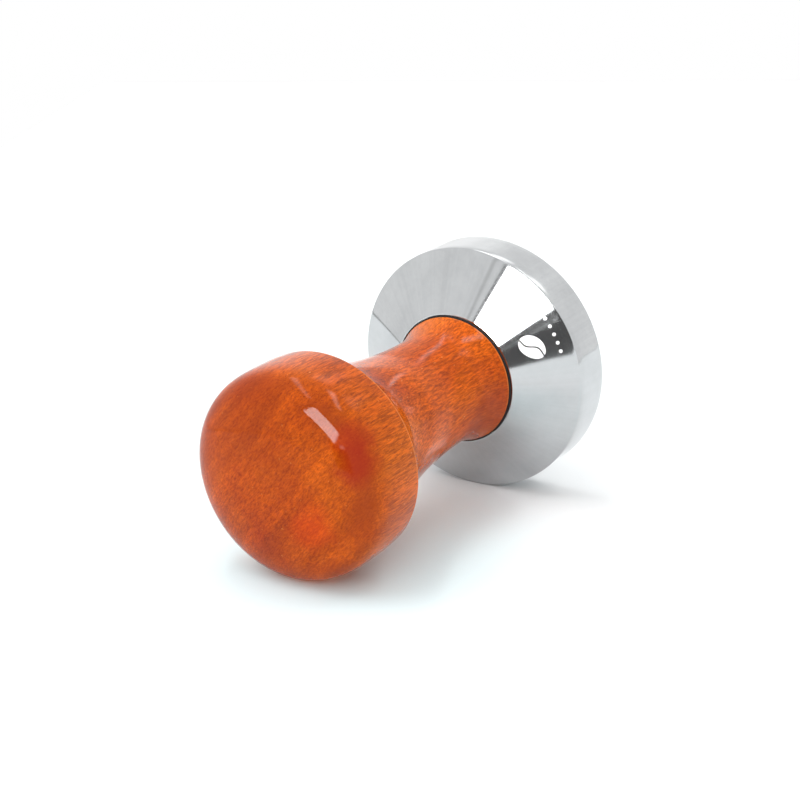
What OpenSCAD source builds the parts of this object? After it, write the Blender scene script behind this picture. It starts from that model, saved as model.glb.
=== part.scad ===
// Espresso tamper: a solid steel piston with a turned wooden handle that screws onto it.
// The tamping face lies on z = 0, and the axis of the piston and the handle is Z.

/* [Piston] */
// Diameter of the tamping face and its rim
piston_d = 58; // [49:0.5:60]
// Height of the straight rim above the tamping face
rim_h = 10.4; // [8:0.2:13]
// Height of the cone's upper edge above the tamping face
cone_top_h = 17.8; // [16:0.2:22]
// Width of the flat land between the cone and the washer recess
land_w = 0.25; // [0.1:0.05:1]
// Break on the two edges of the rim
edge_break = 0.3; // [0.1:0.05:0.6]

/* [Washer] */
// Outer diameter of the rubber washer
washer_d = 30.3; // [28:0.1:34]
// Thickness of the rubber washer
washer_t = 1.5; // [1:0.1:2.5]
// Height of the washer that stands above the land
washer_proud = 0.3; // [0:0.1:0.8]

/* [Handle] */
// Diameter of the foot, where the handle meets the washer
foot_d = 29.7; // [26:0.1:30]
// Diameter of the waist, the narrowest place of the handle
waist_d = 25.9; // [22:0.1:27]
// Height of the waist above the tamping face
waist_h = 28.5; // [27:0.5:32]
// Height of the knob's sharp lower edge
knob_edge_h = 68.2; // [62:0.2:72]
// Height of the widest place of the knob
knob_widest_h = 73.6; // [73:0.2:77]
// Largest diameter of the knob
knob_d = 45.8; // [40:0.2:50]
// Overall height of the tamper
overall_h = 88.5; // [84:0.5:95]

/* [Screw joint] */
// Diameter of the stud, M8
stud_d = 8; // [6:0.5:8]
// Length of the stud
stud_length = 28; // [26:0.5:30]
// Length of stud that sits in the piston
stud_in_piston = 11.8; // [10:0.1:12]
// Outer diameter of the brass insert
insert_d = 12; // [11:0.5:14]
// Length of the brass insert
insert_length = 15; // [13:0.5:16]

/* [Hidden] */
$fn = 128;

stud_gap = 0.05;           // radial clearance round the stud, in both threads
washer_gap = 0.1;          // radial clearance of the washer in its recess
stud_hole_spare = 0.5;     // depth of the piston's hole below the stud
foot_round = 0.25;         // radius on the foot's edge
knob_edge_round = 0.3;     // radius on the knob's sharp lower edge
knob_side_swell = 0.25;    // how far the knob's side swells from its edge to its widest place
crown_side_power = 4.25;   // squareness of the crown's side
crown_top_power = 2.3;     // squareness of the crown's top
hex_key = 4;               // width across flats of the stud's socket
hex_depth = 4;
stud_chamfer = 0.8;
insert_inset = 0.3;        // how far the insert sits inside the handle's foot
handle_hole_spare = 1;     // depth of the handle's hole above the insert and the stud
insert_barbs = 4;          // ridges round the insert that grip the wood
insert_groove = 0.6;       // depth of the grooves between the ridges
insert_gap = 0.02;
cut = 0.1;                 // how far a cutting solid runs past the face it cuts

piston_r = piston_d / 2;
recess_r = washer_d / 2 + washer_gap;
washer_top_h = cone_top_h + washer_proud;
recess_floor_h = washer_top_h - washer_t;
stud_bottom_h = recess_floor_h - stud_in_piston;
stud_hole_r = stud_d / 2;
stud_r = stud_hole_r - stud_gap;
washer_hole_r = stud_d / 2 + 0.5;
foot_r = foot_d / 2;
waist_r = waist_d / 2;
knob_r = knob_d / 2;
knob_edge_r = knob_r - knob_side_swell;
insert_r = insert_d / 2 - insert_gap;
insert_bottom_h = washer_top_h + insert_inset;
handle_hole_top_h = max(insert_bottom_h + insert_length, stud_bottom_h + stud_length) + handle_hole_spare;

// Points of a round corner: centre, radius, first and last angle
function arc(centre, radius, first, last, steps) =
    [for (i = [0:steps]) let (a = first + (last - first) * i / steps)
        centre + radius * [cos(a), sin(a)]];

// Points of a cubic curve from a to d, pulled towards b and c; its first point is left out
function curve(a, b, c, d, steps) =
    [for (i = [1:steps]) let (t = i / steps, s = 1 - t)
        s * s * s * a + 3 * s * s * t * b + 3 * s * t * t * c + t * t * t * d];

// The handle's outline from the edge of its foot to the knob's lower edge
function neck_outline() =
    let (
        foot = [foot_r, washer_top_h + foot_round],
        waist = [waist_r, waist_h],
        flare_end = [knob_edge_r - knob_edge_round, knob_edge_h - knob_edge_round],
        cove = waist_h - foot[1],
        flare = flare_end[1] - waist_h
    )
    concat(
        arc([foot_r - foot_round, foot[1]], foot_round, -90, 0, 5),
        curve(foot, [foot_r - 0.45 * (foot_r - waist_r), foot[1] + 0.22 * cove],
            [waist_r, waist_h - 0.42 * cove], waist, 12),
        curve(waist, [waist_r, waist_h + 0.34 * flare],
            [waist_r + 0.24 * (flare_end[0] - waist_r), waist_h + 0.85 * flare], flare_end, 22)
    );

// The knob's outline from its lower edge, over the crown, to the axis
function knob_outline() =
    let (
        steps = 24,
        crown_h = overall_h - knob_widest_h
    )
    concat(
        arc([knob_edge_r - knob_edge_round, knob_edge_h], knob_edge_round, -45, 0, 2),
        [for (i = [1:4]) let (w = i / 5)
            [knob_edge_r + knob_side_swell * (1 - pow(1 - w, 2)),
                knob_edge_h + (knob_widest_h - knob_edge_h) * w]],
        [for (i = [0:steps]) let (t = 90 * pow(i / steps, 1.6))
            [knob_r * pow(cos(t), 2 / crown_top_power),
                knob_widest_h + crown_h * pow(sin(t), 2 / crown_side_power)]]
    );

// Solid steel piston: flat tamping face, straight rim, cone, washer recess and stud hole
module piston() {
    color("silver")
    difference() {
        rotate_extrude()
            polygon([
                [0, 0],
                [piston_r - edge_break, 0],
                [piston_r, edge_break],
                [piston_r, rim_h - edge_break],
                [piston_r - edge_break, rim_h],
                [recess_r + land_w, cone_top_h],
                [0, cone_top_h]
            ]);
        translate([0, 0, recess_floor_h])
            cylinder(h = washer_t, r = recess_r);
        translate([0, 0, stud_bottom_h - stud_hole_spare])
            cylinder(h = stud_length, r = stud_hole_r);
    }
}

// M8 set screw, fixed in the piston, with a hexagon socket in its upper end
module stud() {
    color("gray")
    translate([0, 0, stud_bottom_h])
        difference() {
            rotate_extrude()
                polygon([
                    [0, 0],
                    [stud_r - stud_chamfer, 0],
                    [stud_r, stud_chamfer],
                    [stud_r, stud_length - stud_chamfer],
                    [stud_r - stud_chamfer, stud_length],
                    [0, stud_length]
                ]);
            translate([0, 0, stud_length - hex_depth])
                cylinder(h = hex_depth + cut, d = hex_key / cos(30), $fn = 6);
        }
}

// Black rubber washer that seals the foot of the handle against the piston
module washer() {
    color("black")
    translate([0, 0, recess_floor_h])
        difference() {
            cylinder(h = washer_t, d = washer_d);
            translate([0, 0, -cut])
                cylinder(h = washer_t + 2 * cut, r = washer_hole_r);
        }
}

// Brass insert pressed into the handle, ridged outside and bored for the stud
module threaded_insert() {
    barb_pitch = insert_length / insert_barbs;
    color("goldenrod")
    translate([0, 0, insert_bottom_h])
        difference() {
            rotate_extrude()
                polygon(concat(
                    [[0, 0]],
                    [for (i = [0:insert_barbs - 1]) each [
                        [insert_r, barb_pitch * i],
                        [insert_r, barb_pitch * (i + 0.6)],
                        [insert_r - insert_groove, barb_pitch * (i + 0.6)],
                        [insert_r - insert_groove, barb_pitch * (i + 1)]
                    ]],
                    [[0, insert_length]]
                ));
            translate([0, 0, -cut])
                cylinder(h = insert_length + 2 * cut, r = stud_hole_r);
        }
}

// One turned piece of wood: foot, waist, flare and crowned knob, bored for the insert
module handle() {
    color("chocolate")
    difference() {
        rotate_extrude()
            polygon(concat([[0, washer_top_h]], neck_outline(), knob_outline()));
        translate([0, 0, washer_top_h - cut])
            cylinder(h = cut + handle_hole_top_h - washer_top_h, d = insert_d);
    }
}

piston();
stud();
washer();
threaded_insert();
handle();
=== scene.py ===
"""Espresso tamper: the looks of its five pieces and its etched mark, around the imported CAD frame."""
import math

import bmesh
import bpy
from mathutils import Matrix, Vector


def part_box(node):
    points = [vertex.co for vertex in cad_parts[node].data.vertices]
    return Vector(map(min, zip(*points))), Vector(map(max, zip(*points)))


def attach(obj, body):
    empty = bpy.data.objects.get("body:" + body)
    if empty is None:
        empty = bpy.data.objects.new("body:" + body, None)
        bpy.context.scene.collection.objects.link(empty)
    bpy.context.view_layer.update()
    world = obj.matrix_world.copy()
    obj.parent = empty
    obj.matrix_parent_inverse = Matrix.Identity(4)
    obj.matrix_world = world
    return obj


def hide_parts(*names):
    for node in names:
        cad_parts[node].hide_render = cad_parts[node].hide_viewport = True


MM = 0.001
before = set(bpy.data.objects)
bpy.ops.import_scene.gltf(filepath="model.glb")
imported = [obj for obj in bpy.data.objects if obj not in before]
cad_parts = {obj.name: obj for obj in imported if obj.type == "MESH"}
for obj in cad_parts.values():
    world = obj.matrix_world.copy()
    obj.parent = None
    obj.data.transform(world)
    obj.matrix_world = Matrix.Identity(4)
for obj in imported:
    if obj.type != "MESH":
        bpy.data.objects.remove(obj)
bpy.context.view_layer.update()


# ---------------------------------------------------------------- sizes, in millimetres

def cad_box(node):
    """Radius, lowest and highest level of a turned CAD node."""
    low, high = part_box(node)
    return (high.x - low.x) / 2 / MM, low.z / MM, high.z / MM


PISTON_R, _, CONE_TOP = cad_box("piston")
WASHER_R, WASHER_LOW, WASHER_TOP = cad_box("washer")
STUD_R, STUD_LOW, STUD_TOP = cad_box("stud")
INSERT_R, INSERT_LOW, INSERT_TOP = cad_box("threaded_insert")
KNOB_R, HANDLE_LOW, HANDLE_TOP = cad_box("handle")

RIM_H = 10.4                    # top of the piston's straight rim
EDGE = 0.3                      # break on the rim's two edges
CONE_R = PISTON_R - EDGE        # outer edge of the cone, and of the tamping face
LAND_R = 15.5                   # inner edge of the cone
RECESS_R = 15.25                # washer recess in the piston
STUD_HOLE_R, STUD_HOLE_LOW = 4.0, 4.3
WASHER_HOLE_R = 4.5
HANDLE_HOLE_R, HANDLE_HOLE_TOP = 6.0, 34.4
FOOT_R, FOOT_ROUND = 14.85, 0.25
WAIST_R, WAIST_H = 12.95, 28.5
KNOB_EDGE_R, KNOB_EDGE_H, KNOB_EDGE_ROUND = 22.65, 68.2, 0.3
KNOB_WIDEST_H = 73.6
CROWN_TOP_POWER, CROWN_SIDE_POWER = 2.3, 4.25
CROWN_SPACING = 1.6             # crowds the crown's points towards its side
THREAD_PITCH, THREAD_DEPTH = 1.25, 0.6
HEX_FLATS, HEX_DEPTH = 4.0, 4.0


# ---------------------------------------------------------------- outlines, as (radius, height)

def arc(centre, radius, first, last, steps):
    """Points of a round corner, between two angles in degrees."""
    turn = [math.radians(first + (last - first) * i / steps) for i in range(steps + 1)]
    return [(centre[0] + radius * math.cos(a), centre[1] + radius * math.sin(a)) for a in turn]


def curve(a, b, c, d, steps):
    """A cubic curve from a to d, pulled towards b and c; its first point is left out."""
    points = []
    for i in range(1, steps + 1):
        t = i / steps
        s = 1 - t
        points.append(tuple(s**3 * a[k] + 3 * s * s * t * b[k] + 3 * s * t * t * c[k] + t**3 * d[k]
                            for k in (0, 1)))
    return points


def line(a, b, steps):
    """Points from a to b; its first point is left out."""
    return [(a[0] + (b[0] - a[0]) * i / steps, a[1] + (b[1] - a[1]) * i / steps)
            for i in range(1, steps + 1)]


def neck_outline():
    """From the foot's round edge, in to the waist and out to the knob's lower edge."""
    foot = (FOOT_R, HANDLE_LOW + FOOT_ROUND)
    waist = (WAIST_R, WAIST_H)
    flare_end = (KNOB_EDGE_R - KNOB_EDGE_ROUND, KNOB_EDGE_H - KNOB_EDGE_ROUND)
    cove, flare = WAIST_H - foot[1], flare_end[1] - WAIST_H
    below_foot = (FOOT_R - 0.45 * (FOOT_R - WAIST_R), foot[1] + 0.22 * cove)
    above_waist = (WAIST_R + 0.24 * (flare_end[0] - WAIST_R), WAIST_H + 0.85 * flare)
    return (arc((FOOT_R - FOOT_ROUND, foot[1]), FOOT_ROUND, -84, 0, 8)
            + curve(foot, below_foot, (WAIST_R, WAIST_H - 0.42 * cove), waist, 16)
            + curve(waist, (WAIST_R, WAIST_H + 0.34 * flare), above_waist, flare_end, 40))


def knob_outline():
    """From the knob's lower edge, up its side and over the crown to the axis."""
    side_steps, crown_steps = 8, 64
    points = arc((KNOB_EDGE_R - KNOB_EDGE_ROUND, KNOB_EDGE_H), KNOB_EDGE_ROUND, -45, 0, 4)
    for i in range(1, side_steps):
        w = i / side_steps
        points.append((KNOB_EDGE_R + (KNOB_R - KNOB_EDGE_R) * (1 - (1 - w) ** 2),
                       KNOB_EDGE_H + (KNOB_WIDEST_H - KNOB_EDGE_H) * w))
    crown_h = HANDLE_TOP - KNOB_WIDEST_H
    for i in range(crown_steps):
        t = math.radians(90 * (i / crown_steps) ** CROWN_SPACING)
        points.append((KNOB_R * math.cos(t) ** (2 / CROWN_TOP_POWER),
                       KNOB_WIDEST_H + crown_h * math.sin(t) ** (2 / CROWN_SIDE_POWER)))
    return points + [(0.0, HANDLE_TOP)]


def handle_outline():
    """The foot, the neck, the knob and the hole for the insert."""
    hole_low, hole_top = (HANDLE_HOLE_R, HANDLE_LOW), (HANDLE_HOLE_R, HANDLE_HOLE_TOP)
    return (line(hole_low, (FOOT_R - FOOT_ROUND, HANDLE_LOW), 6) + neck_outline() + knob_outline()
            + [(0.0, HANDLE_HOLE_TOP), hole_top] + line(hole_top, hole_low, 8))


def piston_outline():
    """The tamping face, the rim, the cone, the washer's recess and the stud's hole."""
    cone_low = (CONE_R, RIM_H)
    recess_edge = 0.03
    points = [(0.0, 0.0)] + line((0.0, 0.0), (CONE_R, 0.0), 24)
    points += arc((CONE_R, EDGE), EDGE, -75, 0, 5)
    points += line((PISTON_R, EDGE), (PISTON_R, RIM_H - EDGE), 6)
    points += [(PISTON_R - 0.04, RIM_H - 0.6 * EDGE), (PISTON_R - 0.14, RIM_H - 0.22 * EDGE), cone_low]
    points += line(cone_low, (LAND_R, CONE_TOP), 20)
    points += [(RECESS_R + recess_edge, CONE_TOP), (RECESS_R, CONE_TOP - recess_edge),
               (RECESS_R, WASHER_LOW)]
    points += line((RECESS_R, WASHER_LOW), (STUD_HOLE_R, WASHER_LOW), 10)
    return points + [(STUD_HOLE_R, STUD_HOLE_LOW), (0.0, STUD_HOLE_LOW)]


def washer_outline():
    """A flat ring with four round edges."""
    corner = 0.12
    inner, outer = WASHER_HOLE_R + corner, WASHER_R - corner
    low, top = WASHER_LOW + corner, WASHER_TOP - corner
    return (arc((outer, low), corner, -90, 0, 3) + arc((outer, top), corner, 0, 90, 3)
            + arc((inner, top), corner, 90, 180, 3) + arc((inner, low), corner, 180, 270, 3))


def insert_outline():
    """A bush with ridges that grip the wood, each chamfered below, and a lead-in for the stud."""
    ridges, ridge_share, groove = 4, 0.6, 0.6
    lead, chamfer = 0.35, 0.1
    pitch = (INSERT_TOP - INSERT_LOW) / ridges
    points = [(STUD_HOLE_R, INSERT_LOW + lead), (STUD_HOLE_R + lead, INSERT_LOW)]
    for i in range(ridges):
        low = INSERT_LOW + pitch * i
        ridge_top = low + ridge_share * pitch
        points += [(INSERT_R - chamfer, low), (INSERT_R, low + chamfer), (INSERT_R, ridge_top),
                   (INSERT_R - groove, ridge_top), (INSERT_R - groove, low + pitch)]
    return points + [(STUD_HOLE_R, INSERT_TOP)]


# ---------------------------------------------------------------- meshes

def finish_mesh(name, bm, sharp_angle=32):
    """Closes a mesh, turns its faces outwards and links it, smooth but for edges past sharp_angle."""
    nothing = 1e-7              # metres; points this close are one point
    bmesh.ops.remove_doubles(bm, verts=bm.verts, dist=nothing)
    bmesh.ops.dissolve_degenerate(bm, dist=nothing, edges=bm.edges)
    bmesh.ops.recalc_face_normals(bm, faces=bm.faces)
    mesh = bpy.data.meshes.new(name)
    bm.to_mesh(mesh)
    bm.free()
    mesh.shade_smooth()
    mesh.set_sharp_from_angle(angle=math.radians(sharp_angle))
    piece = bpy.data.objects.new(name, mesh)
    bpy.context.scene.collection.objects.link(piece)
    return piece


def ring(bm, radii, height):
    """Vertices round the Z axis, one for each radius, in millimetres."""
    count = len(radii)
    return [bm.verts.new((r * MM * math.cos(2 * math.pi * k / count),
                          r * MM * math.sin(2 * math.pi * k / count), height * MM))
            for k, r in enumerate(radii)]


def bridge(bm, a, b):
    """Faces between two rings; a ring may be a single vertex on the axis."""
    for k in range(max(len(a), len(b))):
        corners = [a[k % len(a)], a[(k + 1) % len(a)], b[(k + 1) % len(b)], b[k % len(b)]]
        face = list(dict.fromkeys(corners))
        if len(face) > 2:
            bm.faces.new(face)


def turned(name, outline, segments, sharp_angle=32):
    """Turns a closed outline of (radius, height) points, in millimetres, about the Z axis."""
    bm = bmesh.new()
    rings = [ring(bm, [r] * segments if r > 0 else [r], z) for r, z in outline]
    for a, b in zip(rings, rings[1:] + rings[:1]):
        bridge(bm, a, b)
    return finish_mesh(name, bm, sharp_angle)


def threaded_stud():
    """M8 set screw with a right-hand thread, a chamfer at each end and a hexagon socket on top."""
    segments, rows_each_turn = 72, 10
    chamfer = 0.8
    flank, crest = 2.6, 0.2     # slope of the thread's sides and flatness of its crest
    length = STUD_TOP - STUD_LOW
    rows = round(length / THREAD_PITCH * rows_each_turn)
    bm = bmesh.new()
    rings = []
    for i in range(rows + 1):
        z = STUD_LOW + length * i / rows
        end = max(0.0, 1 - min(z - STUD_LOW, STUD_TOP - z) / chamfer)
        radii = []
        for k in range(segments):
            wave = ((z - STUD_LOW) / THREAD_PITCH - k / segments) % 1.0
            depth = min(1.0, max(0.0, flank * abs(wave - 0.5) - crest))
            radii.append(min(STUD_R - THREAD_DEPTH * depth, STUD_R - chamfer * end))
        rings.append(ring(bm, radii, z))
    sixth = math.pi / 3
    hexagon = [HEX_FLATS / 2 / math.cos(2 * math.pi * k / segments % sixth - sixth / 2)
               for k in range(segments)]
    rings += [ring(bm, hexagon, STUD_TOP), ring(bm, hexagon, STUD_TOP - HEX_DEPTH)]
    for a, b in zip(rings, rings[1:]):
        bridge(bm, a, b)
    bm.faces.new(rings[0])
    bm.faces.new(rings[-1])
    return finish_mesh("stud_m8_thread", bm, 40)


def on_cone(turn, along, lift):
    """A point of the cone: turn in degrees, along in mm up its slope, lift in mm off its surface."""
    run, rise = CONE_R - LAND_R, CONE_TOP - RIM_H
    slope = math.hypot(run, rise)
    r = CONE_R - run * along / slope + lift * rise / slope
    z = RIM_H + rise * along / slope + lift * run / slope
    a = math.radians(turn)
    return (r * MM * math.cos(a), r * MM * math.sin(a), z * MM)


def etch(bm, strip):
    """A closed thin skin on the cone over a strip: a list of (left, right) pairs of (turn, along)."""
    proud, sunk = 0.012, -0.03
    top, low = ([[bm.verts.new(on_cone(*side, lift)) for side in pair] for pair in strip]
                for lift in (proud, sunk))
    for i in range(len(strip) - 1):
        bm.faces.new((top[i][0], top[i][1], top[i + 1][1], top[i + 1][0]))
        bm.faces.new((low[i][0], low[i + 1][0], low[i + 1][1], low[i][1]))
        for k in (0, 1):
            bm.faces.new((top[i][k], top[i + 1][k], low[i + 1][k], low[i][k]))
    for i in (0, -1):
        bm.faces.new((top[i][0], top[i][1], low[i][1], low[i][0]))


def bean_half(side):
    """Half a coffee bean on the cone, on one side (-1 or 1) of its curved crease, with blunt tips."""
    bean_turn, bean_along, tilt = 206.5, 8.6, math.radians(35)
    half_long, half_wide, crease, sway = 3.3, 2.35, 0.34, 0.62
    steps, tip, least_width = 40, 0.985, 0.02
    degrees_per_mm = math.degrees(1 / 21.2)     # the cone's radius at the bean is 21.2 mm

    def place(x, y):
        u = x * math.cos(tilt) - y * math.sin(tilt)
        v = x * math.sin(tilt) + y * math.cos(tilt)
        return bean_turn + u * degrees_per_mm, bean_along + v

    strip = []
    for i in range(steps + 1):
        t = -tip * math.cos(math.pi * i / steps)
        width = math.sqrt(1 - t * t)
        outer = side * half_wide * width
        inner = side * min(crease / 2, half_wide * width) + sway * math.sin(math.pi * t) * width
        if (outer - inner) * side < least_width:
            inner = outer - side * least_width
        strip.append((place(t * half_long, inner), place(t * half_long, outer)))
    return strip


def dot(turn):
    """A round dot near the foot of the cone."""
    radius, along, steps, least_width = 0.42, 2.95, 12, 0.06
    degrees_per_mm = math.degrees(1 / 26)       # the cone's radius at the dots is 26 mm
    strip = []
    for i in range(steps + 1):
        t = -math.cos(math.pi * i / steps)
        half = radius * max(least_width, math.sqrt(max(0.0, 1 - t * t)))
        x = turn + radius * t * degrees_per_mm
        strip.append(((x, along - half), (x, along + half)))
    return strip


def bean_mark():
    """A generic coffee bean and a row of dots, etched on the cone: a frosted skin a hundredth of
    a millimetre proud of the steel."""
    dots, first_turn, spacing = 5, 216.6, 4.45
    bm = bmesh.new()
    for side in (-1, 1):
        etch(bm, bean_half(side))
    for k in range(dots):
        etch(bm, dot(first_turn - spacing * k))
    return finish_mesh("etched_bean_mark", bm, 40)


# ---------------------------------------------------------------- material helpers

def srgb(red, green, blue):
    """A linear colour from the 0 to 255 values that a screen shows."""
    def linear(v):
        v /= 255
        return v / 12.92 if v <= 0.04045 else ((v + 0.055) / 1.055) ** 2.4
    return (linear(red), linear(green), linear(blue), 1.0)


class Graph:
    """Adds nodes to a tree; most methods give back the socket that the node ends in."""

    def __init__(self, tree):
        self.tree = tree
        tree.nodes.clear()

    def node(self, kind, inputs=None, **settings):
        made = self.tree.nodes.new("ShaderNode" + kind)
        for name, value in settings.items():
            setattr(made, name, value)
        for key, value in (inputs or {}).items():
            self.feed(made.inputs[key], value)
        return made

    def feed(self, socket, value):
        if isinstance(value, bpy.types.NodeSocket):
            self.tree.links.new(value, socket)
        else:
            socket.default_value = value

    def math(self, operation, a, b=0.0):
        return self.node("Math", {0: a, 1: b}, operation=operation).outputs[0]

    def off(self, value, level):
        """How far a value is from a level, either way."""
        return self.math("ABSOLUTE", self.math("SUBTRACT", value, level))

    def vector(self, operation, a, b=(0, 0, 0)):
        made = self.node("VectorMath", {0: a, 1: b}, operation=operation)
        return made.outputs["Value" if operation in ("DOT_PRODUCT", "LENGTH", "DISTANCE") else "Vector"]

    def join(self, x, y=0.0, z=0.0):
        return self.node("CombineXYZ", {0: x, 1: y, 2: z}).outputs[0]

    def height(self, place):
        return self.node("SeparateXYZ", {0: place}).outputs[2]

    def ramp_value(self, value, low, high, to_low=0.0, to_high=1.0, kind="SMOOTHSTEP"):
        """Takes low to to_low and high to to_high, and holds them beyond."""
        return self.node("MapRange", {"Value": value, "From Min": low, "From Max": high,
                                      "To Min": to_low, "To Max": to_high},
                         interpolation_type=kind).outputs[0]

    def noise(self, place, scale, detail=3.0, roughness=0.5):
        """Noise with a size of its own along each axis: scale is in cells for each metre."""
        stretched = self.vector("MULTIPLY", place, scale)
        return self.node("TexNoise", {"Vector": stretched, "Scale": 1.0, "Detail": detail,
                                      "Roughness": roughness}).outputs[0]

    def colours(self, value, *stops):
        """A colour ramp through (position, colour) stops."""
        made = self.node("ValToRGB", {"Fac": value})
        ramp = made.color_ramp
        while len(ramp.elements) < len(stops):
            ramp.elements.new(0.5)
        for element, (position, colour) in zip(ramp.elements, stops):
            element.position, element.color = position, colour
        return made.outputs[0]

    def blend(self, share, a, b, kind="MIX"):
        """Colour a turned to colour b by share."""
        return self.node("Mix", {0: share, 6: a, 7: b}, data_type="RGBA", blend_type=kind).outputs[2]

    def mix_value(self, share, a, b):
        return self.node("Mix", {0: share, 2: a, 3: b}, data_type="FLOAT").outputs[0]

    def tint(self, colour, value):
        """A colour made lighter or darker by a value."""
        grey = self.node("CombineColor", {0: value, 1: value, 2: value}).outputs[0]
        return self.blend(1.0, colour, grey, "MULTIPLY")

    def bump(self, height, strength, distance):
        return self.node("Bump", {"Height": height, "Strength": strength,
                                  "Distance": distance}).outputs[0]


def material(name, **constants):
    """A material with one Principled shader; returns it, its graph, its shader and the object place."""
    made = bpy.data.materials.new(name)
    made.use_nodes = True
    graph = Graph(made.node_tree)
    shader = graph.node("BsdfPrincipled", {key.replace("_", " "): value for key, value in constants.items()})
    graph.node("OutputMaterial", {"Surface": shader.outputs[0]})
    place = graph.node("TexCoord").outputs["Object"]
    return made, graph, shader, place


# ---------------------------------------------------------------- wood; places in metres

WOOD_LIGHT, WOOD_MID, WOOD_DEEP = srgb(212, 105, 16), srgb(196, 86, 8), srgb(160, 56, 8)
STAIN_AND_SHADE_BROWN, STAIN_RED, STAIN_ORANGE = srgb(136, 50, 12), srgb(146, 34, 14), srgb(196, 50, 10)
# the pale colour serves the pale flecks in the grain and the painted highlight along the two sharp edges
WOOD_PORE, PALE_FLECK_AND_EDGE_HIGHLIGHT = srgb(84, 26, 8), srgb(232, 142, 66)
CROWN_GLOW = srgb(150, 36, 10)
TREE_CENTRE = (0.092, -0.080, 0.0)              # where the growth rings have their middle
RAYS_ALONG, RAYS_ACROSS = (-0.653, -0.757, 0.0), (-0.757, 0.653, 0.0)
SHOULDER_H = 0.0838                             # level of the dark band round the crown, partly stain and partly painted dark reflection

STAINS_AND_PAINTED_SHADE = (
    # middle, radius, strength, colour
    ((0.0045, -0.0135, 0.0870), 0.0130, 0.45, STAIN_AND_SHADE_BROWN),
    ((-0.0040, -0.0035, 0.0885), 0.0090, 0.20, STAIN_AND_SHADE_BROWN),
    ((-0.0010, 0.0130, 0.0870), 0.0080, 0.25, STAIN_AND_SHADE_BROWN),
    ((0.0165, -0.0040, 0.0852), 0.0095, 0.50, STAIN_AND_SHADE_BROWN),
    ((-0.0175, -0.0125, 0.0827), 0.0060, 0.65, STAIN_RED),
    ((-0.0192, -0.0070, 0.0835), 0.0062, 0.75, STAIN_RED),
    ((-0.0105, 0.0065, 0.0872), 0.0070, 0.35, STAIN_ORANGE),
    # painted shade, not a stain: the neck's shaded lower right side, just above the foot
    ((-0.0130, 0.0060, 0.0230), 0.0160, 0.60, STAIN_AND_SHADE_BROWN),
)


def growth_rings(g, colour, place):
    """Bands of lighter and darker wood, long along the axis."""
    rings_each_metre, wander_rings, lean = 330, 3.0, 0.12
    from_centre = g.vector("MULTIPLY", g.vector("SUBTRACT", place, TREE_CENTRE), (1, 1, lean))
    wander = g.noise(place, (45, 45, 9), detail=2)
    count = g.math("ADD", g.math("MULTIPLY", g.vector("LENGTH", from_centre), rings_each_metre),
                   g.math("MULTIPLY", wander, wander_rings))
    band = g.noise(g.join(count), (1, 1, 1), detail=3)
    return g.tint(colour, g.ramp_value(band, 0.3, 0.7, 0.84, 1.1))


def wood_grain(g, colour, place, end_grain):
    """Fibres along the axis, rays and stripes across the end grain, pores and pale flecks.
    Returns the colour and the fibres."""
    ray_place = g.join(g.vector("DOT_PRODUCT", place, RAYS_ALONG),
                       g.vector("DOT_PRODUCT", place, RAYS_ACROSS), g.height(place))
    fibre = g.noise(place, (2300, 2300, 300), detail=5, roughness=0.75)
    rays = g.noise(ray_place, (900, 2900, 2000), detail=5, roughness=0.75)
    fibre = g.mix_value(end_grain, fibre, rays)
    stripes = g.noise(ray_place, (45, 340, 45), detail=3, roughness=0.6)
    stripes = g.ramp_value(stripes, 0.36, 0.64, 0.84, 1.12)
    colour = g.tint(colour, g.mix_value(end_grain, 1.0, stripes))
    colour = g.tint(colour, g.ramp_value(fibre, 0.40, 0.60, 0.58, 1.30, "LINEAR"))
    pore = g.noise(place, (3300, 3300, 620), detail=2)
    colour = g.blend(g.ramp_value(pore, 0.62, 0.69, 0.0, 0.5), colour, WOOD_PORE)
    fleck = g.noise(place, (1500, 1500, 900), detail=1)
    return g.blend(g.ramp_value(fleck, 0.74, 0.78, 0.0, 0.5), colour, PALE_FLECK_AND_EDGE_HIGHLIGHT), fibre


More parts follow.
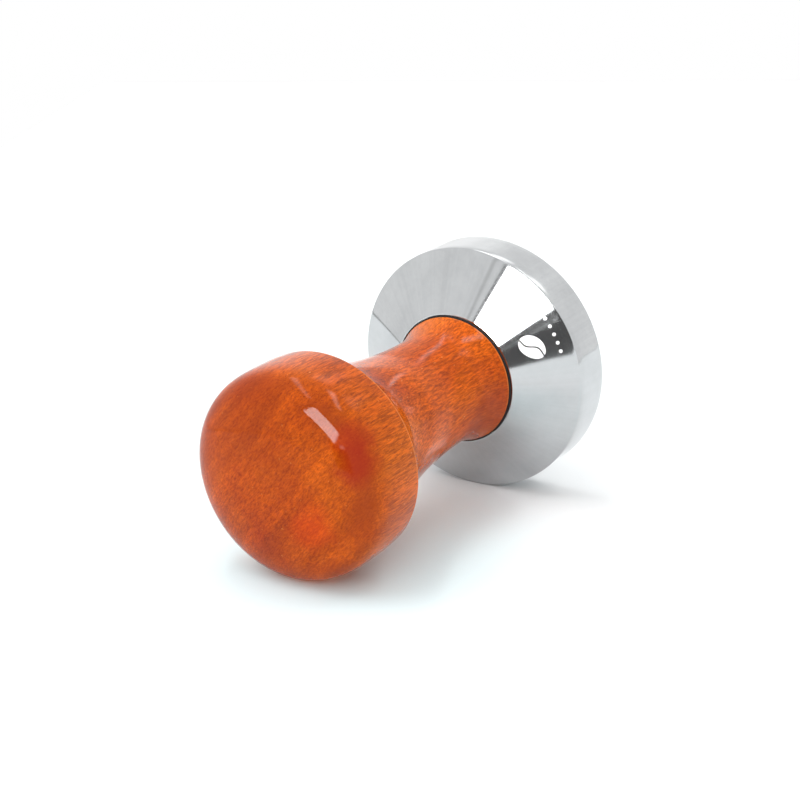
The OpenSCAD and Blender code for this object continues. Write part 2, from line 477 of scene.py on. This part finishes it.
def wood_stains_and_painted_light(g, colour, place, end_grain):
    """Makes the knob darker, most of all its end grain, and adds a dark band round the shoulder that is
    partly stain and partly painted dark reflection, stain patches and one patch of painted shade low on the
    neck; the two sharp edges get a painted pale highlight."""
    z = g.height(place)
    knob = g.ramp_value(z, 0.064, 0.069)
    colour = g.tint(colour, g.mix_value(end_grain, g.mix_value(knob, 1.0, 0.87), 0.77))
    colour = g.blend(g.math("MULTIPLY", end_grain, 0.2), colour, CROWN_GLOW)
    uneven = g.noise(place, (120, 120, 120), detail=3, roughness=0.6)
    # dark band round the shoulder: partly stain, partly painted dark reflection
    shoulder_stain_and_reflection = g.ramp_value(g.off(z, SHOULDER_H), 0.0006, 0.0030, 0.6, 0.0)
    colour = g.blend(g.math("MULTIPLY", shoulder_stain_and_reflection, g.ramp_value(uneven, 0.3, 0.6)), colour, STAIN_AND_SHADE_BROWN)
    ragged = g.ramp_value(uneven, 0.0, 1.0, -0.003, 0.003)
    for middle, radius, strength, patch_colour in STAINS_AND_PAINTED_SHADE:
        away = g.math("ADD", g.vector("DISTANCE", place, middle), ragged)
        colour = g.blend(g.ramp_value(away, 0.1 * radius, radius, strength, 0.0), colour, patch_colour)
    # painted pale highlight along the knob's lower edge and along the foot's edge
    from_axis = g.vector("LENGTH", g.vector("MULTIPLY", place, (1, 1, 0)))
    for level, inner in ((KNOB_EDGE_H, KNOB_EDGE_R - 0.25), (HANDLE_LOW + FOOT_ROUND, FOOT_R - 0.15)):
        edge_highlight = g.math("MULTIPLY", g.ramp_value(g.off(z, level * MM), 0.0001, 0.00035, 0.35, 0.0),
                        g.math("GREATER_THAN", from_axis, inner * MM))
        colour = g.blend(g.math("MULTIPLY", edge_highlight, g.ramp_value(uneven, 0.3, 0.55)), colour, PALE_FLECK_AND_EDGE_HIGHLIGHT)
    return colour


def wood_material():
    """Stained beech under clear lacquer."""
    made, g, shader, place = material(
        "lacquered_beech", Specular_IOR_Level=0.0, Coat_Weight=1.0, Coat_Roughness=0.07, Coat_IOR=1.22)
    end_grain = g.ramp_value(g.height(place), 0.076, 0.085)
    cloud = g.noise(place, (44, 44, 20), detail=4, roughness=0.55)
    colour = g.colours(cloud, (0.28, WOOD_DEEP), (0.5, WOOD_MID), (0.72, WOOD_LIGHT))
    colour = growth_rings(g, colour, place)
    colour, fibre = wood_grain(g, colour, place, end_grain)
    colour = wood_stains_and_painted_light(g, colour, place, end_grain)

    g.feed(shader.inputs["Base Color"], colour)
    g.feed(shader.inputs["Roughness"], g.ramp_value(fibre, 0.3, 0.7, 0.5, 0.36, "LINEAR"))
    g.feed(shader.inputs["Normal"], g.bump(fibre, 0.15, 0.0001))
    swell = g.math("ADD", g.noise(place, (170, 170, 60), detail=2), g.math("MULTIPLY", fibre, 0.05))
    g.feed(shader.inputs["Coat Normal"], g.bump(swell, 0.05, 0.0006))
    return made


# ---------------------------------------------------------------- other materials

def steel_material():
    """Turned and polished stainless steel, with fine tool rings about the axis."""
    made, g, shader, place = material(
        "turned_stainless", Metallic=1.0, Anisotropic=0.9, Anisotropic_Rotation=0.25)
    from_axis = g.vector("MULTIPLY", place, (1, 1, 0))
    along = g.join(g.math("SUBTRACT", g.vector("LENGTH", from_axis), g.height(place)))
    rings = g.noise(along, (5200, 1, 1), detail=3, roughness=0.7)
    broad = g.noise(along, (420, 1, 1), detail=2)
    rays = g.noise(g.vector("NORMALIZE", from_axis), (26, 26, 1), detail=5, roughness=0.7)
    smudge = g.noise(place, (75, 75, 75), detail=5, roughness=0.65)

    colour = g.colours(smudge, (0.35, (0.475, 0.487, 0.495, 1)), (0.65, (0.545, 0.557, 0.565, 1)))
    colour = g.tint(colour, g.ramp_value(rays, 0.35, 0.65, 0.975, 1.02, "LINEAR"))
    g.feed(shader.inputs["Base Color"], colour)
    rough = g.math("ADD", g.ramp_value(rings, 0.3, 0.7, 0.07, 0.105, "LINEAR"),
                   g.ramp_value(broad, 0.3, 0.7, 0.0, 0.03, "LINEAR"))
    g.feed(shader.inputs["Roughness"], rough)
    g.feed(shader.inputs["Normal"], g.bump(rings, 0.05, 0.00002))
    g.feed(shader.inputs["Tangent"], g.node("Tangent", direction_type="RADIAL", axis="Z").outputs[0])
    return made


def grainy_material(name, cells, detail, dark, light, rough, bump, **constants):
    """A surface with an even fine grain: cells for each metre, two colours, the least and most
    roughness, and the bump's strength and distance."""
    made, g, shader, place = material(name, **constants)
    grain = g.noise(place, (cells, cells, cells), detail=detail)
    g.feed(shader.inputs["Base Color"], g.colours(grain, (0.3, dark), (0.7, light)))
    g.feed(shader.inputs["Roughness"], g.ramp_value(grain, 0.3, 0.7, *rough, "LINEAR"))
    g.feed(shader.inputs["Normal"], g.bump(grain, *bump))
    return made


def etched_material():
    """Frosted steel where the mark is etched."""
    return grainy_material("etched_steel", 9000, 2, srgb(222, 223, 224), srgb(246, 246, 246),
                           (0.55, 0.7), (0.2, 0.00002), Metallic=0.35)


def rubber_material():
    """Black rubber with a faint moulded grain."""
    return grainy_material("black_rubber", 3000, 3, srgb(14, 14, 15), srgb(26, 26, 27),
                           (0.5, 0.75), (0.25, 0.00005), Specular_IOR_Level=0.3)


def metal_material(name, dark, light, rough):
    """A machined metal with a mottled colour and fine rings about the axis; rough is the least and
    the most roughness."""
    made, g, shader, place = material(name, Metallic=1.0)
    mottle = g.noise(place, (700, 700, 700), detail=4)
    rings = g.noise(place, (150, 150, 9000), detail=2)
    g.feed(shader.inputs["Base Color"], g.colours(mottle, (0.3, dark), (0.7, light)))
    g.feed(shader.inputs["Roughness"], g.ramp_value(rings, 0.3, 0.7, *rough, "LINEAR"))
    g.feed(shader.inputs["Normal"], g.bump(rings, 0.15, 0.00003))
    return made


def zinc_material():
    """Bright zinc plating."""
    return metal_material("zinc_plated_steel", srgb(172, 174, 176), srgb(208, 209, 208), (0.24, 0.4))


def brass_material():
    """Machined brass."""
    return metal_material("machined_brass", srgb(196, 152, 70), srgb(222, 182, 98), (0.22, 0.36))


# ---------------------------------------------------------------- pieces

def add_piece(piece, body, node, look):
    """Gives a piece its material and the body it rides on, and hides the CAD node it stands for, if any."""
    piece.data.materials.append(look)
    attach(piece, body)
    if node:
        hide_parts(node)


add_piece(turned("piston_turned", piston_outline(), 256, 24),
          "piston", "piston", steel_material())
add_piece(bean_mark(), "piston", None, etched_material())
add_piece(threaded_stud(), "piston", "stud", zinc_material())
add_piece(turned("washer_rubber", washer_outline(), 192),
          "washer", "washer", rubber_material())
add_piece(turned("insert_brass", insert_outline(), 96),
          "handle", "threaded_insert", brass_material())
add_piece(turned("handle_wood", handle_outline(), 256),
          "handle", "handle", wood_material())


# ---------------------------------------------------------------- studio, in metres

UP = Vector((0.0, -0.995418, -0.095608))           # straight up, when the tamper lies on the table
RIGHT = Vector((-0.834590, 0.052668, -0.548345))   # the camera's right, level
AHEAD = UP.cross(RIGHT).normalized()               # level, away from the camera
REST_POINT = Vector((0.0, PISTON_R * MM, (RIM_H - EDGE) * MM))   # where the rim touches the table
CAMERA_PLACE = Vector((-0.197007, -0.134925, 0.327146))
CAMERA_TILT = 16.27        # degrees that the camera looks down
LENS_MM, SENSOR_MM = 76.64, 36.0
WHITE = (1, 1, 1, 1)


def make_camera():
    tilt = math.radians(CAMERA_TILT)
    look = AHEAD * math.cos(tilt) - UP * math.sin(tilt)
    top = AHEAD * math.sin(tilt) + UP * math.cos(tilt)
    data = bpy.data.cameras.new("camera")
    data.lens, data.sensor_width = LENS_MM, SENSOR_MM
    data.clip_start, data.clip_end = 0.01, 20
    camera = bpy.data.objects.new("camera", data)
    bpy.context.scene.collection.objects.link(camera)
    turn = Matrix((RIGHT, top, -look)).transposed().to_4x4()
    camera.matrix_world = Matrix.Translation(CAMERA_PLACE) @ turn
    bpy.context.scene.camera = camera


def table_mesh():
    """Three faces side by side, on the plane that touches both the rim and the knob."""
    front, back, left, right = -0.26, 0.9, -0.24, 0.77      # from the point where the rim rests
    left_edge, right_edge = 0.018, 0.05
    lean = max((r - PISTON_R) / (z - RIM_H + EDGE) for r, z in knob_outline() if z > KNOB_WIDEST_H)
    upward = Vector((0.0, -1.0, lean)).normalized()
    corners = []
    for ahead in (front, back):
        for across in (left - left_edge, left, right, right + right_edge):
            level = AHEAD * ahead + RIGHT * across
            corners.append(REST_POINT + level - upward * level.dot(upward))
    mesh = bpy.data.meshes.new("table")
    mesh.from_pydata([c[:] for c in corners], [], [(k, k + 1, k + 5, k + 4) for k in range(3)])
    return mesh


def table_fill(g, place, ray):
    """The table's own light, for rays off other surfaces: it softens the shadows where the object
    touches it, and the reflection of the dark gap under the rim."""
    diffuse_fill, glossy_fill = 0.3, 0.5
    under_rim = g.math("MULTIPLY", g.ramp_value(g.height(place), 0.005, 0.0085, 1.0, 0.0),
                       g.ramp_value(g.vector("DISTANCE", place, REST_POINT[:]), 0.018, 0.032, 1.0, 0.0))
    fill = g.math("ADD", g.math("MULTIPLY", ray["Is Diffuse Ray"], diffuse_fill),
                  g.math("MULTIPLY", g.math("MULTIPLY", ray["Is Glossy Ray"], under_rim), glossy_fill))
    return g.node("Emission", {"Color": WHITE, "Strength": fill}).outputs[0]


def table_material(name, colour, is_edge):
    """Matt paint, seen only from above. The camera sees past the dark edge, which shows only in
    the steel, and soft rays shorter than 2 mm pass, so that the table cuts off no light where the
    object touches it."""
    contact = 0.002
    made = bpy.data.materials.new(name)
    made.use_nodes = True
    g = Graph(made.node_tree)
    ray = g.node("LightPath").outputs
    geometry = g.node("NewGeometry").outputs
    place, clear = geometry["Position"], geometry["Backfacing"]
    if is_edge:
        clear = g.math("MAXIMUM", clear, ray["Is Camera Ray"])
    else:
        # painted cyan tint on the table round the handle, which cancels the orange light bounced off the
        # wood
        under_neck, cyan_against_wood_bounce = (0.0, 0.024, 0.066), (0.65, 0.85, 0.89, 1)
        bounce_tint_share = g.ramp_value(g.vector("DISTANCE", place, under_neck), 0.018, 0.062, 0.7, 0.0)
        colour = g.blend(bounce_tint_share, colour, cyan_against_wood_bounce)
    soft_ray = g.math("MAXIMUM", ray["Is Diffuse Ray"], ray["Is Shadow Ray"])
    touching = g.math("MULTIPLY", soft_ray, g.math("LESS_THAN", ray["Ray Length"], contact))
    clear = g.math("MAXIMUM", clear, touching)
    paint = g.node("BsdfDiffuse", {"Color": colour}).outputs[0]
    paint = g.node("AddShader", {0: paint, 1: table_fill(g, place, ray)}).outputs[0]
    gone = g.node("BsdfTransparent").outputs[0]
    g.node("OutputMaterial", {"Surface": g.node("MixShader", {0: clear, 1: paint, 2: gone}).outputs[0]})
    return made


def make_table():
    """A white table top with a dark edge on its left and right."""
    mesh = table_mesh()
    table = bpy.data.objects.new("table", mesh)
    bpy.context.scene.collection.objects.link(table)
    mesh.materials.append(table_material("white_table", (0.765, 0.785, 0.792, 1), False))
    mesh.materials.append(table_material("table_edge", (0.25, 0.25, 0.25, 1), True))
    for face, is_edge in zip(mesh.polygons, (1, 0, 1)):
        face.material_index = is_edge


def towards(azimuth, elevation):
    """Direction, level and upward tangents of a place in the studio, in degrees.
    Azimuth 0 is ahead of the camera and 90 is on its right; elevation is above the table."""
    a, e = math.radians(azimuth), math.radians(elevation)
    level = AHEAD * math.cos(a) + RIGHT * math.sin(a)
    middle = level * math.cos(e) + UP * math.sin(e)
    return middle, RIGHT * math.cos(a) - AHEAD * math.sin(a), UP * math.cos(e) - level * math.sin(e)


def panel(g, look, azimuth, elevation, half_width, half_height, turn, soft):
    """A mask of a rectangle in the studio's surroundings; sizes and softness in degrees."""
    middle, level, upward = towards(azimuth, elevation)
    t = math.radians(turn)
    across = level * math.cos(t) + upward * math.sin(t)
    along = upward * math.cos(t) - level * math.sin(t)
    depth = g.vector("DOT_PRODUCT", look, middle[:])
    share = g.math("GREATER_THAN", depth, 0.0)
    for axis, half in ((across, half_width), (along, half_height)):
        offset = g.math("DIVIDE", g.vector("DOT_PRODUCT", look, axis[:]), depth)
        size, edge = math.tan(math.radians(half)), math.radians(soft)
        inside = g.ramp_value(g.math("ABSOLUTE", offset), size - edge, size + edge, 1.0, 0.0)
        share = g.math("MULTIPLY", share, inside)
    return share


WALL_LIGHT = 1.09
PANELS = (
    # azimuth, elevation, half width, half height, turn, softness, brightness seen and given;
    # each one lies over those before it
    (95, 18, 38, 24, 0, 8.0, WALL_LIGHT, 0.4),              # less light comes from the right
    (-95, 52, 22, 14, 0, 8.0, WALL_LIGHT, 3.4),             # and more from the upper left
    (-4, 20, 26, 14, 0, 8.0, 1.32, 1.2),                    # pale wall behind the object
    (-169, 1, 13, 10.5, 0, 1.0, 0.13, 0.13),                # dark gap round the camera
    (-130, 30, 1.0, 14, 0, 0.8, 0.8, 1.0),                  # light stands at the left
    (-101, 25, 2.0, 16, 0, 2.0, 1.0, 1.0),
    (-80, 76, 24, 3.2, -5, 2.5, 5.5, 9.5),                  # strip lights overhead
    (76, 66, 15, 3.2, 4, 2.5, 8.0, 6.0),
    (18, 50, 6, 5, 0, 4.0, 2.5, 2.0),                       # two small lamps ahead
    (60, 47, 6, 5, 0, 4.0, 2.5, 2.0),
    (-159.3, 29.2, 17.2, 14.6, 38.5, 0.4, 0.13, 0.4),       # softbox and its dark frame
    (-159.3, 29.2, 14.9, 12.3, 38.5, 0.4, 28.0, 5.0),
    (-175.5, 12.5, 4.2, 1.0, -22, 0.4, 10.0, 1.0),          # small strip under the softbox
)


def make_light():
    """A pale room with PANELS in it: what glossy surfaces see of it and the light that it gives
    are set apart, and the camera itself sees plain white."""
    world = bpy.data.worlds.new("studio")
    bpy.context.scene.world = world
    world.use_nodes = True
    g = Graph(world.node_tree)
    look = g.node("TexCoord").outputs["Generated"]
    ray = g.node("LightPath").outputs
    light = WALL_LIGHT
    for *place_and_size, seen, given in PANELS:
        mask = panel(g, look, *place_and_size)
        light = g.mix_value(mask, light, g.mix_value(ray["Is Glossy Ray"], given, seen))
    light = g.mix_value(ray["Is Camera Ray"], light, 1.0)
    background = g.node("Background", {"Color": WHITE, "Strength": light})
    g.node("OutputWorld", {"Surface": background.outputs[0]})


make_camera()
make_table()
make_light()
bpy.context.scene.view_settings.view_transform = "Standard"
